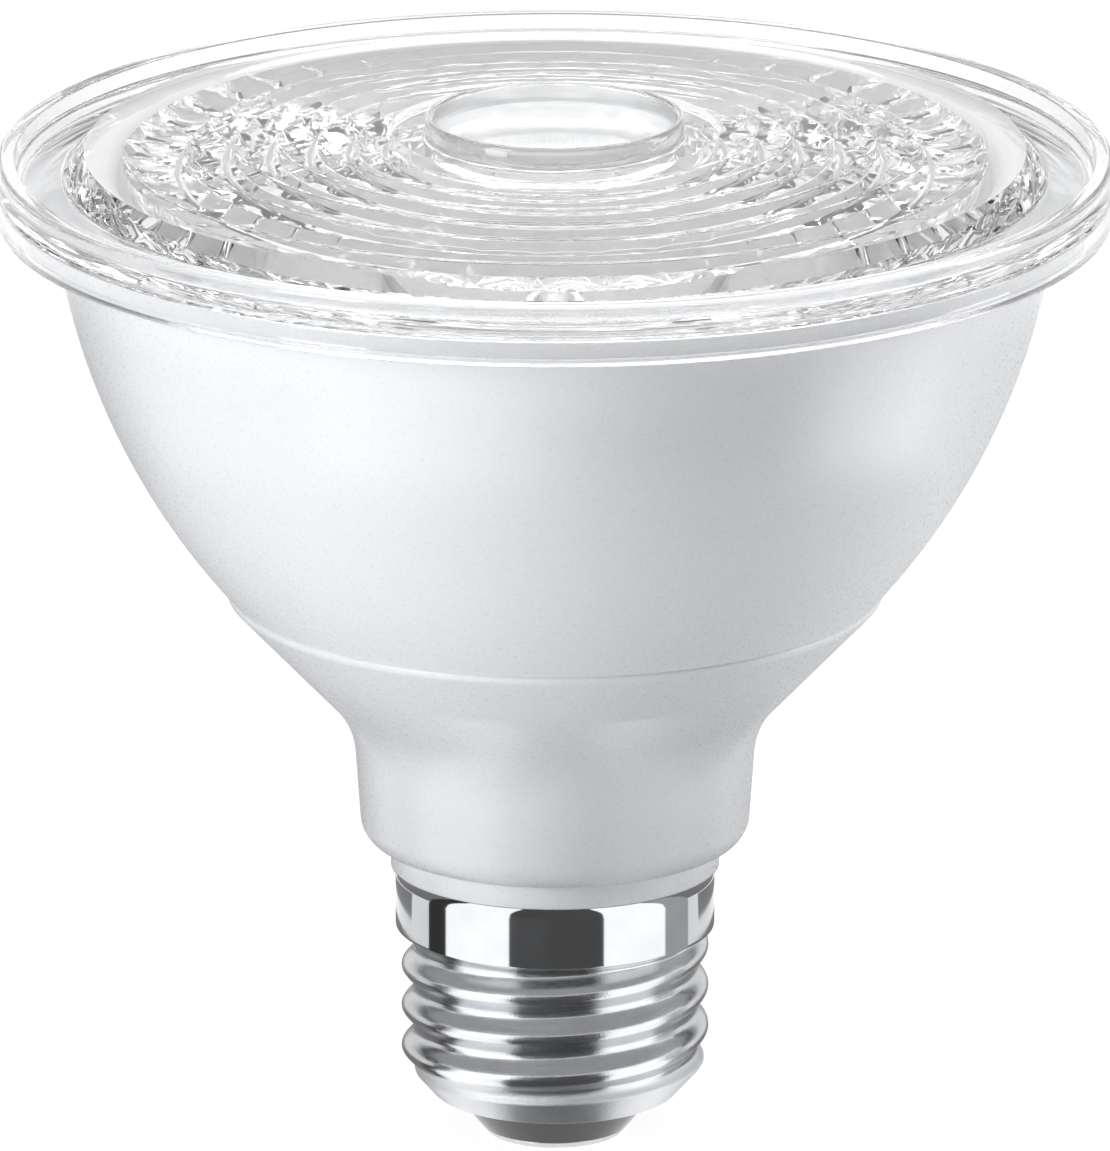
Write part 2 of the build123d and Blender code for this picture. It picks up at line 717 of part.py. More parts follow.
def on_transformer(shape):
    """Move a shape to the middle of the transformer."""
    return Pos(0, transformer_y, transformer_height) * shape


def transformer_core():
    """Ferrite frame with a middle leg between two windows."""
    core = Box(TRANSFORMER_WIDTH, TRANSFORMER_CORE_DEPTH, TRANSFORMER_HEIGHT)
    window = Box(window_width, 2 * TRANSFORMER_CORE_DEPTH, window_height)
    offset = (TRANSFORMER_LEG + window_width) / 2
    return on_transformer(core - [Pos(side * offset) * window for side in (-1, 1)])


def transformer_bobbin():
    """Spool round the middle leg, whose two flanges stand on the board."""
    length = window_height - 2 * FIT
    inner = (TRANSFORMER_LEG + 2 * FIT, TRANSFORMER_CORE_DEPTH + 2 * FIT)
    outer = [side + 2 * BOBBIN_WALL for side in inner]
    flange_width = TRANSFORMER_LEG + 2 * (window_width - FIT)
    flange = Pos(0, BOBBIN_WALL / 2) * Box(flange_width, spool_depth + BOBBIN_WALL, BOBBIN_WALL)
    lift = (length - BOBBIN_WALL) / 2
    spool = Box(*outer, length) + [Pos(0, 0, side * lift) * flange for side in (-1, 1)]
    return on_transformer(spool - Box(*inner, 2 * length))


def transformer_winding():
    """Taped coil between the bobbin's flanges."""
    length = window_height - 4 * FIT - 2 * BOBBIN_WALL
    inner = [side + 4 * FIT + 2 * BOBBIN_WALL for side in (TRANSFORMER_LEG, TRANSFORMER_CORE_DEPTH)]
    build = min(WINDING_BUILD, window_width - BOBBIN_WALL - 4 * FIT)
    coil = Box(inner[0] + 2 * build, inner[1] + 2 * WINDING_BUILD - 4 * FIT, length)
    coil = fillet(coil.edges().filter_by(Axis.Z), min(WINDING_ROUND, build))
    return on_transformer(coil - Box(*inner, 2 * length))


def lead(points, radius=LEAD_RADIUS, bend=WIRE_BEND):
    """Round wire along straight runs joined by tangent arcs."""
    path = FilletPolyline(*points, radius=bend)
    section = Plane(origin=path @ 0, z_dir=path % 0) * Circle(radius)
    return sweep(section, path=path)


def board_pin(x, y, height):
    """Wire from the end of a part that lies along the front of the board, bent over to the board."""
    over = height + 2 * WIRE_BEND
    return lead([(x, y, height), (x, y, over), (x, -board_face, over)])


def can_body(radius, length):
    """Aluminium can standing on its rubber end, with the groove that is rolled in near that end."""
    groove_height = length - CAN_GROOVE_DROP
    return turned(
        Polyline(
            (0, length),
            (radius, length),
            (radius, groove_height + CAN_GROOVE),
            (radius - CAN_GROOVE, groove_height),
            (radius, groove_height - CAN_GROOVE),
            (radius, 0),
            (0, 0),
            close=True,
        )
    )


def bulk_capacitor():
    """Electrolytic can that lies along the board in the neck, with its two wires bent to the board."""
    y = -(board_face + FIT + BULK_RADIUS)
    top = transformer_low - 4 * WIRE_BEND
    can = Pos(0, y, top - BULK_LENGTH) * can_body(BULK_RADIUS, BULK_LENGTH)
    return can + [board_pin(side * BULK_RADIUS / 2, y, top - LEAD_RADIUS) for side in (-1, 1)]


def behind_board(shape, x, height):
    """Stand a shape, drawn upward from the origin, on the back of the board."""
    return Pos(x, board_face, height) * Rot(-90, 0, 0) * shape


def output_capacitor():
    can = Pos(0, 0, OUTPUT_LENGTH) * Rot(180, 0, 0) * can_body(OUTPUT_RADIUS, OUTPUT_LENGTH)
    return behind_board(can, lead_margin + OUTPUT_RADIUS, transformer_height)


def film_capacitor():
    """Moulded box with rounded edges."""
    width, depth, height = FILM_SIZE
    box = Pos(0, 0, depth / 2) * Box(width, height, depth)
    box = fillet(box.edges().filter_by(Axis.Z), FILM_ROUND)
    return behind_board(box, -(lead_margin + width / 2), transformer_height)


def line_choke():
    """Ferrite drum with its coil sunk between two flanges."""
    waist = CHOKE_RADIUS - CHOKE_WAIST
    drum = turned(
        Polyline(
            (0, 0),
            (CHOKE_RADIUS, 0),
            (CHOKE_RADIUS, CHOKE_WAIST),
            (waist, CHOKE_WAIST),
            (waist, CHOKE_LENGTH - CHOKE_WAIST),
            (CHOKE_RADIUS, CHOKE_LENGTH - CHOKE_WAIST),
            (CHOKE_RADIUS, CHOKE_LENGTH),
            (0, CHOKE_LENGTH),
            close=True,
        )
    )
    return behind_board(drum, 0, (neck_floor + neck_top) / 2)


def flat_package(size, x):
    """Moulded chip with bevelled top edges, flat on the back of the board."""
    width, depth, height = size
    body = Pos(0, 0, depth / 2) * Box(width, height, depth)
    body = chamfer(body.edges().group_by(Axis.Z)[-1], PACKAGE_BEVEL)
    return behind_board(body, x, (neck_top + transformer_low) / 2)


def bridge_rectifier():
    return flat_package(BRIDGE_SIZE, -(BRIDGE_SIZE[0] + PART_SPACING) / 2)


def controller_chip():
    return flat_package(CHIP_SIZE, (CHIP_SIZE[0] + PART_SPACING) / 2)


def fuse_resistor():
    """Fusible resistor along the board's tail, thicker at its two end caps."""
    y = -(board_face + FIT + FUSE_RADIUS)
    top = neck_floor - 3 * WIRE_BEND
    low = top - FUSE_LENGTH
    waist = FUSE_RADIUS - FUSE_WAIST
    barrel = turned(
        Polyline(
            (0, low),
            (FUSE_RADIUS, low),
            (FUSE_RADIUS, low + FUSE_CAP),
            (waist, low + FUSE_CAP + FUSE_WAIST),
            (waist, top - FUSE_CAP - FUSE_WAIST),
            (FUSE_RADIUS, top - FUSE_CAP),
            (FUSE_RADIUS, top),
            (0, top),
            close=True,
        )
    )
    return Pos(0, y) * barrel + board_pin(0, y, top - LEAD_RADIUS)


def led_lead(x):
    """Lead from the driver board up through the heat spreader to the light source's board."""
    y = board_face + FIT + WIRE_RADIUS
    turn_height = (board_top + spreader_low) / 2
    pad_height = led_board_top + FIT + WIRE_RADIUS
    points = [
        (x, y, board_top - 4 * WIRE_BEND),
        (x, y, turn_height),
        (x, led_lead_y, turn_height),
        (x, led_lead_y, pad_height),
        (x, led_lead_y - 3 * WIRE_BEND, pad_height),
    ]
    return lead(points, WIRE_RADIUS)


def line_lead():
    """Lead from the contact's stem up to the tail of the driver board."""
    low = insulator_top + CONTACT_STEM_RISE
    y = -(board_face + FIT + WIRE_RADIUS)
    x = -cap_spigot_bore / 3
    rise = (cap_spigot_end - low) / 3
    points = [(0, 0, low), (0, 0, low + rise), (x, y, low + 2 * rise)]
    points.append((x, y, cap_spigot_end + 3 * WIRE_BEND))
    return lead(points, WIRE_RADIUS)


def neutral_lead():
    """Lead from the tail of the driver board out to the inside of the shell."""
    y = -(board_face + FIT + WIRE_RADIUS)
    x = cap_spigot_bore / 2
    height = cap_spigot_end - FIT - WIRE_RADIUS
    reach = sqrt((cap_bore - FIT) ** 2 - (abs(y) + WIRE_RADIUS) ** 2)
    return lead([(x, y, cap_spigot_end + 3 * WIRE_BEND), (x, y, height), (reach, y, height)], WIRE_RADIUS)


pieces = {
    "front_lens": front_lens(),
    "upper_housing": upper_housing(),
    "lower_housing": lower_housing(),
    "screw_shell": screw_shell(),
    "base_insulator": base_insulator(),
    "centre_contact": centre_contact(),
    "heat_spreader": heat_spreader(),
    "led_board": led_board(),
    "led_emitter": led_emitter(),
    "board_screws": Compound(board_screws()),
    "spreader_screws": Compound(spreader_screws()),
    "driver_board": driver_board(),
    "transformer_core": transformer_core(),
    "transformer_bobbin": transformer_bobbin(),
    "transformer_winding": transformer_winding(),
    "bulk_capacitor": bulk_capacitor(),
    "output_capacitor": output_capacitor(),
    "film_capacitor": film_capacitor(),
    "line_choke": line_choke(),
    "bridge_rectifier": bridge_rectifier(),
    "controller_chip": controller_chip(),
    "fuse_resistor": fuse_resistor(),
    "led_lead_positive": led_lead(led_lead_x),
    "led_lead_negative": led_lead(-led_lead_x),
    "line_lead": line_lead(),
    "neutral_lead": neutral_lead(),
}

os.makedirs("parts", exist_ok=True)
for name, piece in pieces.items():
    export_step(piece, f"parts/{name}.step")
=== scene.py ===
import math

import bpy
import numpy as np
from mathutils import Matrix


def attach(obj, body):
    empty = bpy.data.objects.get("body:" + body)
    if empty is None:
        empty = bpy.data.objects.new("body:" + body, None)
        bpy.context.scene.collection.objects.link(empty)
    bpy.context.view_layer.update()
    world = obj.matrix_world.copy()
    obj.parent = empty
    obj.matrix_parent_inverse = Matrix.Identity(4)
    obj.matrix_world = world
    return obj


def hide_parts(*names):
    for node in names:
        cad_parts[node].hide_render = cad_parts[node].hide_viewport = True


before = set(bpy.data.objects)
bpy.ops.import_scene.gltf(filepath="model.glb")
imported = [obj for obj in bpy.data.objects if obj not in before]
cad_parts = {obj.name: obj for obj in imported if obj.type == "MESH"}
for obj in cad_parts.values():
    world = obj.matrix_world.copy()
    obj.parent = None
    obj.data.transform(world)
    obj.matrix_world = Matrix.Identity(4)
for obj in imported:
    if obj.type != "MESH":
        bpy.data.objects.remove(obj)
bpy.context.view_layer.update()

# Centre contact: the plated disc at the very end of the cap, pressed from brass, with a turned edge.
# A hollow rivet stem goes up through the glass, and the lead is soldered into a small pit in the disc.


def rounded(corners, radii, steps=5):
    """Outline through corners given as (radius, height), each turned on an arc of its own radius.
    The arc starts and ends where a circle of that radius touches the two straight runs. A point stands just
    before and just after it, so that the straight runs stay straight when the surface is shaded smooth."""
    corners = np.asarray(corners, float)
    back = np.roll(corners, 1, 0) - corners
    ahead = np.roll(corners, -1, 0) - corners
    back /= np.linalg.norm(back, axis=1)[:, None]
    ahead /= np.linalg.norm(ahead, axis=1)[:, None]
    half = np.arccos(np.clip((back * ahead).sum(1), -0.9999, 0.9999)) / 2
    radii = np.maximum(np.asarray(radii, float), 1e-4)
    run = radii / np.tan(half)
    middle = back + ahead
    middle /= np.linalg.norm(middle, axis=1)[:, None]
    centre = corners + middle * (radii / np.sin(half))[:, None]
    share = np.linspace(0, 1, steps)[None, :, None]
    start = (corners + back * run[:, None] - centre)[:, None]
    end = (corners + ahead * run[:, None] - centre)[:, None]
    sweep = (math.pi - 2 * half)[:, None, None]
    arc = np.sin((1 - share) * sweep) * start + np.sin(share * sweep) * end
    arc = arc / np.sin(sweep) + centre[:, None]
    guard = np.minimum(0.04, 0.2 * radii)[:, None]
    before = corners + back * (run[:, None] + guard)
    after = corners + ahead * (run[:, None] + guard)
    return np.concatenate([before[:, None], arc, after[:, None]], axis=1).reshape(-1, 2)


def round_rows(outline, columns):
    """Rows of points round the Z axis: x = r cos a, y = r sin a, z = h for each (r, h) of the outline."""
    angle = np.arange(columns) * math.tau / columns
    radius, height = np.asarray(outline, float).T
    level = np.broadcast_to(height[:, None], (len(height), columns))
    return np.stack([np.outer(radius, np.cos(angle)), np.outer(radius, np.sin(angle)), level], axis=2)


def skin(rows, closed):
    """Points and four-sided faces of a grid whose columns close on themselves, and its rows where closed."""
    count, columns = rows.shape[:2]
    here = np.arange(count if closed else count - 1)[:, None] * columns
    below = (here + columns) % (count * columns)
    column = np.arange(columns)[None, :]
    beside = (column + 1) % columns
    faces = np.stack([here + column, below + column, below + beside, here + beside], axis=2)
    return rows.reshape(-1, 3), faces.reshape(-1, 4)


def capped(rows):
    """Points and faces of an open grid whose first and last row are closed by fans to their own middles."""
    points, faces = skin(rows, False)
    columns = rows.shape[1]
    column = np.arange(columns)
    beside = (column + 1) % columns
    last = len(points) - columns
    top = np.stack([np.full(columns, len(points)), column, beside], axis=1)
    low = np.stack([last + beside, last + column, np.full(columns, len(points) + 1)], axis=1)
    points = np.vstack([points, rows[0].mean(0), rows[-1].mean(0)])
    return points, [*faces.tolist(), *top.tolist(), *low.tolist()]


def make_piece(name, points, faces, node, slot, finish):
    """Object from points in millimetres, which stands for a CAD node. Its slot argument is not used."""
    mesh = bpy.data.meshes.new(name)
    corners = faces if isinstance(faces, list) else faces.tolist()
    mesh.from_pydata((np.asarray(points) * 0.001).tolist(), [], corners)
    mesh.polygons.foreach_set("use_smooth", np.ones(len(mesh.polygons), bool))
    mesh.set_sharp_from_angle(angle=math.radians(50))
    mesh.materials.append(finish)
    piece = bpy.data.objects.new(name, mesh)
    bpy.context.scene.collection.objects.link(piece)
    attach(piece, "root")
    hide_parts(node)
    return piece


def new_finish(name, **sockets):
    """Principled material with these values on its sockets; an underscore stands for a space in a name."""
    finish = bpy.data.materials.new(name)
    finish.use_nodes = True
    shader = finish.node_tree.nodes["Principled BSDF"]
    for socket, value in sockets.items():
        shader.inputs[socket.replace("_", " ")].default_value = value
    return finish


def node_of(finish, kind, links=None, **settings):
    """New node of that kind in a finish, with its settings, and inputs linked to sockets or set to values."""
    node = finish.node_tree.nodes.new(kind)
    for name, value in settings.items():
        setattr(node, name, value)
    for socket, source in (links or {}).items():
        if isinstance(source, bpy.types.NodeSocket):
            finish.node_tree.links.new(source, node.inputs[socket])
        else:
            node.inputs[socket].default_value = source
    return node


def feed(finish, socket, source):
    """Link a node's output to a socket of the finish's Principled shader."""
    finish.node_tree.links.new(source, finish.node_tree.nodes["Principled BSDF"].inputs[socket])


def place_of(finish):
    """Object coordinates in the finish, in metres from the contact's lower face."""
    return node_of(finish, "ShaderNodeTexCoord").outputs["Object"]


def between(finish, value, start, end, low, high):
    """Value carried in a straight line from the range start to end onto low to high, and no further."""
    links = {"Value": value, "From Min": start, "From Max": end, "To Min": low, "To Max": high}
    return node_of(finish, "ShaderNodeMapRange", links).outputs["Result"]


def mottle(finish, scale, low, high, detail=3.0, stretch=None):
    """Soft noise over the piece, spread between two values; stretch squeezes it along the axes."""
    place = place_of(finish)
    if stretch:
        place = node_of(finish, "ShaderNodeMapping", {"Vector": place, "Scale": stretch}).outputs["Vector"]
    noise = node_of(finish, "ShaderNodeTexNoise", {"Vector": place, "Scale": scale, "Detail": detail})
    return between(finish, noise.outputs["Fac"], 0.3, 0.7, low, high)


def tint(finish, scale, first, second, detail=3.0, stretch=None):
    """Base colour that drifts between two close tones in soft noise."""
    drift = mottle(finish, scale, 0, 1, detail, stretch)
    mix = node_of(finish, "ShaderNodeMix", {"Factor": drift}, data_type="RGBA")
    mix.inputs["A"].default_value = (*first, 1)
    mix.inputs["B"].default_value = (*second, 1)
    feed(finish, "Base Color", mix.outputs["Result"])


def sheen(finish, scale, low, high, detail=3.0):
    """Roughness that drifts between two values in soft noise."""
    feed(finish, "Roughness", mottle(finish, scale, low, high, detail))


def relief(finish, height, distance, strength):
    """Bump from a height socket, in metres, on the finish's normal."""
    bump = node_of(finish, "ShaderNodeBump", {"Height": height, "Distance": distance, "Strength": strength})
    feed(finish, "Normal", bump.outputs["Normal"])


def grain(finish, scale, distance, strength, detail=3.0):
    """Fine bump in soft noise."""
    relief(finish, mottle(finish, scale, 0, 1, detail), distance, strength)


contact_plate = new_finish("contact_plate", Metallic=1.0)
tint(contact_plate, 900, (0.74, 0.73, 0.71), (0.66, 0.65, 0.64))
sheen(contact_plate, 2500, 0.16, 0.3)
grain(contact_plate, 3000, 0.00001, 0.4)

near_axis = 0.01
disc_radius, disc_top = 6.0, 0.55
stem_radius, stem_top = 1.6, 7.2
pit_edge, pit_radius, pit_depth = 2.6, 2.2, 0.16
contact_outline = rounded(
    [
        (near_axis, stem_top), (stem_radius, stem_top), (stem_radius, disc_top), (disc_radius, disc_top),
        (disc_radius, 0.0), (pit_edge, 0.0), (pit_radius, pit_depth), (near_axis, pit_depth),
    ],
    [0, 0.2, 0.1, 0.1, 0.27, 0.15, 0.1, 0],
)
contact_grid = round_rows(contact_outline, 128)
make_piece("contact_disc", *capped(contact_grid), "centre_contact", "plated_contact", contact_plate)

# Insulator: a cone of dark moulded glass, poured hot into the shell's end, where it locks the contact in.
# Its free face is fire-polished, with a faint swirl left by the pour.
dark_glass = new_finish("dark_glass", Coat_Weight=0.4, Coat_Roughness=0.04)
tint(dark_glass, 300, (0.02, 0.021, 0.026), (0.05, 0.05, 0.056), 4, (1, 1, 3))
sheen(dark_glass, 700, 0.06, 0.18)
grain(dark_glass, 400, 0.00003, 0.4)

glass_bore, glass_radius, glass_top = 1.72, 11.634, 6.7
bevel_top, bevel_foot, bevel_radius = 5.704, 4.07, 10.188
shell_foot = 3.6
cone_radius, cone_end_radius = 8.78, 6.3
insulator_outline = rounded(
    [
        (glass_bore, glass_top), (glass_radius, glass_top), (glass_radius, bevel_top),
        (bevel_radius, bevel_foot), (cone_radius, bevel_foot), (cone_radius, shell_foot),
        (cone_end_radius, disc_top), (glass_bore, disc_top),
    ],
    [0.1, 0.2, 0.2, 0.2, 0.1, 0.35, 0.25, 0.1],
)
insulator_grid = round_rows(insulator_outline, 192)
make_piece("glass_cone", *skin(insulator_grid, True), "base_insulator", "dark_glass", dark_glass)

# Screw shell: brass sheet 0.35 mm thick, drawn to a cup, its knuckle thread rolled in, then nickel plated.
# The tapered end is bead blasted, and the plain skirt above the thread is crimped to a lip under the neck.
foot_radius, foot_end, taper_slope = 10.4, 4.2, 0.885
skirt_radius, skirt_start, shoulder_radius, shoulder_slope = 13.7, 17.7, 12.1, 1.773
shell_top, lip_start, lip_flare = 24.0, 23.0, 0.4


def soft_least(first, second, blend):
    """The lesser of two values, rounded over where they differ by less than blend."""
    share = np.clip(0.5 + 0.5 * (second - first) / blend, 0, 1)
    return second + (first - second) * share - blend * share * (1 - share)


def thread_rows(heights, columns):
    """Wall of the shell as radius r over turn a and height z. The rolled thread is a cosine wave on a helix:
    r = root + depth (1 - cos(2 pi ((z - crest) / pitch - a / 2 pi))) / 2.
    The taper cuts it off below, and above it runs out under the shoulder of the skirt."""
    root, depth, pitch, crest = 12.104, 1.096, 3.629, 7.6
    angle = np.arange(columns)[None, :] * math.tau / columns
    height = heights[:, None]
    wave = root + depth * (1 - np.cos(math.tau * (height - crest) / pitch - angle)) / 2
    taper = foot_radius + (height - shell_foot) * taper_slope
    shoulder = shoulder_radius + (height - skirt_start) * shoulder_slope
    wall = soft_least(wave, taper, 0.35)
    wall = -soft_least(-wall, -np.minimum(shoulder, skirt_radius), 0.3)
    level = np.broadcast_to(height, wall.shape)
    return np.stack([wall * np.cos(angle), wall * np.sin(angle), level], axis=2)


shell_columns = 288
hole_radius, hole_top = 8.9, 3.95
thread_bore, thread_bore_top, skirt_bore, skirt_bore_foot = 11.754, 18.05, 13.35, 18.95
taper_end = foot_radius + (foot_end - shell_foot) * taper_slope
foot = rounded(
    [(hole_radius, hole_top), (hole_radius, shell_foot), (foot_radius, shell_foot), (taper_end, foot_end)],
    [0.02, 0.05, 0.6, 0],
)[1:-8]
share = np.linspace(1, 0, 9)
lip = np.stack([skirt_radius + lip_flare * share**2, lip_start + share], axis=1)
inside = [
    (10.242, hole_top), (thread_bore, 5.659), (thread_bore, thread_bore_top),
    (skirt_bore, skirt_bore_foot), (skirt_bore, shell_top - 0.04),
]
shell_rows = np.concatenate(
    [
        round_rows([(13.38, shell_top), (14.06, shell_top)], shell_columns),
        round_rows(lip, shell_columns),
        thread_rows(np.linspace(22.9, 18.9, 12), shell_columns),
        thread_rows(np.linspace(18.8, foot_end, 140), shell_columns),
        round_rows(foot[::-1], shell_columns),
        round_rows(inside, shell_columns),
    ]
)
plated = new_finish("plated_nickel", Metallic=1.0)
tint(plated, 250, (0.59, 0.6, 0.615), (0.53, 0.54, 0.555))
height = node_of(plated, "ShaderNodeSeparateXYZ", {"Vector": place_of(plated)}).outputs["Z"]
blasted = between(plated, height, 0.0066, 0.0072, 1.0, 0.0)
rolled = between(plated, height, 0.0176, 0.0186, 1.0, 0.0)
drawn = mottle(plated, 1500, 0.17, 0.27, 4, (1, 1, 3))
polish = node_of(plated, "ShaderNodeMix", {"Factor": rolled, "A": 0.07, "B": drawn}).outputs["Result"]
rough = node_of(plated, "ShaderNodeMix", {"Factor": blasted, "A": polish, "B": 0.6}).outputs["Result"]
feed(plated, "Roughness", rough)
coarse = node_of(plated, "ShaderNodeMath", {0: rolled, 1: 0.25, 2: blasted}, operation="MULTIPLY_ADD")
grit = {0: mottle(plated, 6000, 0, 1), 1: coarse.outputs["Value"]}
grit = node_of(plated, "ShaderNodeMath", grit, operation="MULTIPLY")
relief(plated, grit.outputs["Value"], 0.00003, 0.5)
make_piece("threaded_shell", *skin(shell_rows, True), "screw_shell", "plated_sheet", plated)

# Lower housing: cone, neck and collar, injection moulded in white plastic with a fine spark-eroded texture.
# Its spigots plug up into the bowl and down into the cap; posts take the screws of the heat spreader.
satin_white = new_finish("satin_white", Specular_IOR_Level=0.5)
tint(satin_white, 60, (0.885, 0.9, 0.925), (0.87, 0.885, 0.91), 0)
sheen(satin_white, 3500, 0.27, 0.35, 0)
grain(satin_white, 5200, 0.00001, 0.35, 1)

spigot_top, seam, seam_radius = 51.9, 48.9, 28.1
spigot_radius, spigot_bore = 25.54, 23.74
cone_start, neck_top, neck_top_radius, neck_radius = 48.3, 36.9, 17.3, 16.55
collar_top, collar_radius = 26.2, 14.1
skirt_fit, skirt_fit_end = 13.23, 19.07
plug_radius, plug_bore, plug_end = 11.634, 10.134, 12.0
hollow_floor, hollow_radius, hollow_neck_radius = 28.0, 14.75, 15.5
neck_outline = rounded(
    [
        (spigot_bore, spigot_top), (spigot_radius, spigot_top), (spigot_radius, seam), (seam_radius, seam),
        (seam_radius, cone_start), (neck_top_radius, neck_top), (neck_radius, collar_top),
        (collar_radius, collar_top), (collar_radius, shell_top), (skirt_fit, shell_top),
        (skirt_fit, skirt_fit_end), (plug_radius, skirt_fit_end), (plug_radius, plug_end),
        (plug_bore, plug_end), (plug_bore, hollow_floor), (hollow_radius, hollow_floor),
        (hollow_neck_radius, 37.62), (spigot_bore, 46.31),
    ],
    [0.2, 0.3, 0.1, 0.22, 0.7, 8.0, 2.2, 0.3, 0.12, 0.1, 0.2, 0.1, 0.2, 0.2, 0.2, 0.3, 4.0, 0.5],
    10,
)
post_top, post_foot, post_radius, post_reach = 65.2, 47.1, 2.8, 21.84
pilot_radius, pilot_end = 1.46, 59.2
post_outline = rounded(
    [
        (pilot_radius, post_top), (post_radius, post_top), (post_radius, post_foot),
        (near_axis, post_foot), (near_axis, pilot_end), (pilot_radius, pilot_end),
    ],
    [0.1, 0.2, 0.1, 0, 0, 0.1],
)
post_points, post_faces = skin(round_rows(post_outline, 32), True)
turn = math.tau * np.array([3, 7, 11])[:, None] / 12
post_places = post_reach * np.stack([np.cos(turn), np.sin(turn), 0 * turn], axis=2)
rail_corners = np.array([[x, y, z] for x in (-1, 1) for y in (-1, 1) for z in (-1, 1)])
rail_faces = np.array([[0, 1, 3, 2], [4, 6, 7, 5], [0, 4, 5, 1], [2, 3, 7, 6], [0, 2, 6, 4], [1, 5, 7, 3]])
rail_reach, rail_offset, rail_middle, rail_half_size = 13.9, 1.62, 32.45, [1.75, 0.7, 4.45]
rail_places = np.array([[x * rail_reach, y * rail_offset, rail_middle] for x in (-1, 1) for y in (-1, 1)])
rail_points = rail_places[:, None] + rail_corners * rail_half_size
groups = [skin(round_rows(neck_outline, 256), True)]
groups += [(post_points + place, post_faces) for place in post_places]
groups += [(points, rail_faces) for points in rail_points]
starts = np.cumsum([0] + [len(points) for points, _ in groups])
lower_points = np.vstack([points for points, _ in groups])
lower_faces = [face for (_, faces), start in zip(groups, starts) for face in (faces + start).tolist()]
make_piece("cone_and_neck", lower_points, lower_faces, "lower_housing", "white_plastic", satin_white)

# Upper housing: the bowl, moulded in the same white plastic and pushed down on the spigot to a hairline seam.
# Its wall swells on one arc of 60 mm radius from the seam up to the flange that carries the lens.
bowl_radius, bowl_centre, bowl_level, bowl_wall = 60.0, -16.81, 88.70, 1.8
flange_radius, flange_foot, flange_top = 45.18, 81.8, 83.44
ledge_radius, ledge_bore = 41.58, 40.98


def bowl_arc(low, high, inset, steps=40):
    """Points of the bowl's wall, an arc about a centre past the axis.
    Its radius at height z is r = centre + sqrt((R - inset)^2 - (level - z)^2)."""
    height = np.linspace(low, high, steps)
    reach = np.sqrt((bowl_radius - inset) ** 2 - (bowl_level - height) ** 2)
    return np.stack([bowl_centre + reach, height], axis=1)


flange = rounded(
    [
        (ledge_bore, 81.2), (ledge_bore, flange_foot), (ledge_radius, flange_foot),
        (ledge_radius, flange_top), (flange_radius, flange_top), (flange_radius, flange_foot),
        (42.8, flange_foot), (42.6, 80.5),
    ],
    [0, 0.1, 0.1, 0.2, 0.25, 0.25, 0.15, 0],
)
edge = rounded([(29.0, 50.4), (seam_radius, seam), (25.66, seam), (26.6, 50.4)], [0, 0.2, 0.2, 0])
outer_wall, inner_wall = bowl_arc(81.5, 49.3, 0.0), bowl_arc(49.3, 81.3, bowl_wall)
bowl_grid = round_rows(np.concatenate([flange[7:-7], outer_wall, edge[7:-7], inner_wall]), 320)
make_piece("bowl", *skin(bowl_grid, True), "upper_housing", "white_plastic", satin_white)

# Heat spreader and light source: a pressed aluminium dish, powder coated white, hangs by its rim in the bowl.
# A white metal-core board is screwed to its floor, with the emitter's phosphor dome in the middle.
powder_coat = new_finish("powder_coat", Specular_IOR_Level=0.4)
tint(powder_coat, 120, (0.96, 0.96, 0.96), (0.94, 0.94, 0.945), 0)
sheen(powder_coat, 900, 0.4, 0.6, 0)

white_mask = new_finish("white_mask", Coat_Weight=0.2)
tint(white_mask, 500, (0.9, 0.9, 0.88), (0.87, 0.87, 0.86))
sheen(white_mask, 1500, 0.25, 0.4)

phosphor = new_finish("phosphor", Subsurface_Weight=0.2, Subsurface_Scale=0.001)
tint(phosphor, 4000, (0.95, 0.92, 0.77), (0.93, 0.89, 0.7))
sheen(phosphor, 2000, 0.3, 0.42)

zinc = new_finish("zinc_plate", Metallic=1.0)
tint(zinc, 1500, (0.68, 0.68, 0.69), (0.58, 0.59, 0.61))
sheen(zinc, 3000, 0.25, 0.4)


def dress(node, finish):
    """Give a CAD node that keeps its shape this finish."""
    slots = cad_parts[node].data.materials
    slots.clear()
    slots.append(finish)


dress("heat_spreader", powder_coat)
dress("led_board", white_mask)
dress("led_emitter", phosphor)
dress("board_screws", zinc)
dress("spreader_screws", powder_coat)

# Driver: a green glass-fibre board that slides into rails in the neck, with its wound and moulded parts.
# Four stranded leads in coloured insulation join it to the light source, the contact and the shell.


def plain_finish(name, first, second, scale, low, high):
    """Moulded, lacquered or sintered finish: tones and roughness drift in soft noise, over a fine bump."""
    finish = new_finish(name)
    tint(finish, scale, first, second)
    sheen(finish, scale * 3, low, high)
    grain(finish, scale * 4, 0.00002, 0.3)
    return finish


green_mask = plain_finish("green_mask", (0.04, 0.24, 0.11), (0.06, 0.3, 0.14), 700, 0.25, 0.4)
ferrite = plain_finish("ferrite", (0.085, 0.085, 0.09), (0.13, 0.13, 0.135), 1800, 0.5, 0.75)
black_moulding = plain_finish("black_moulding", (0.03, 0.03, 0.032), (0.05, 0.05, 0.052), 900, 0.35, 0.5)
winding_tape = plain_finish("winding_tape", (0.82, 0.62, 0.08), (0.88, 0.7, 0.14), 600, 0.2, 0.35)
can_sleeve = plain_finish("can_sleeve", (0.03, 0.045, 0.09), (0.05, 0.07, 0.12), 800, 0.2, 0.35)
amber_case = plain_finish("amber_case", (0.6, 0.3, 0.05), (0.7, 0.38, 0.08), 700, 0.25, 0.4)
chip_epoxy = plain_finish("chip_epoxy", (0.035, 0.035, 0.037), (0.06, 0.06, 0.062), 2500, 0.45, 0.65)
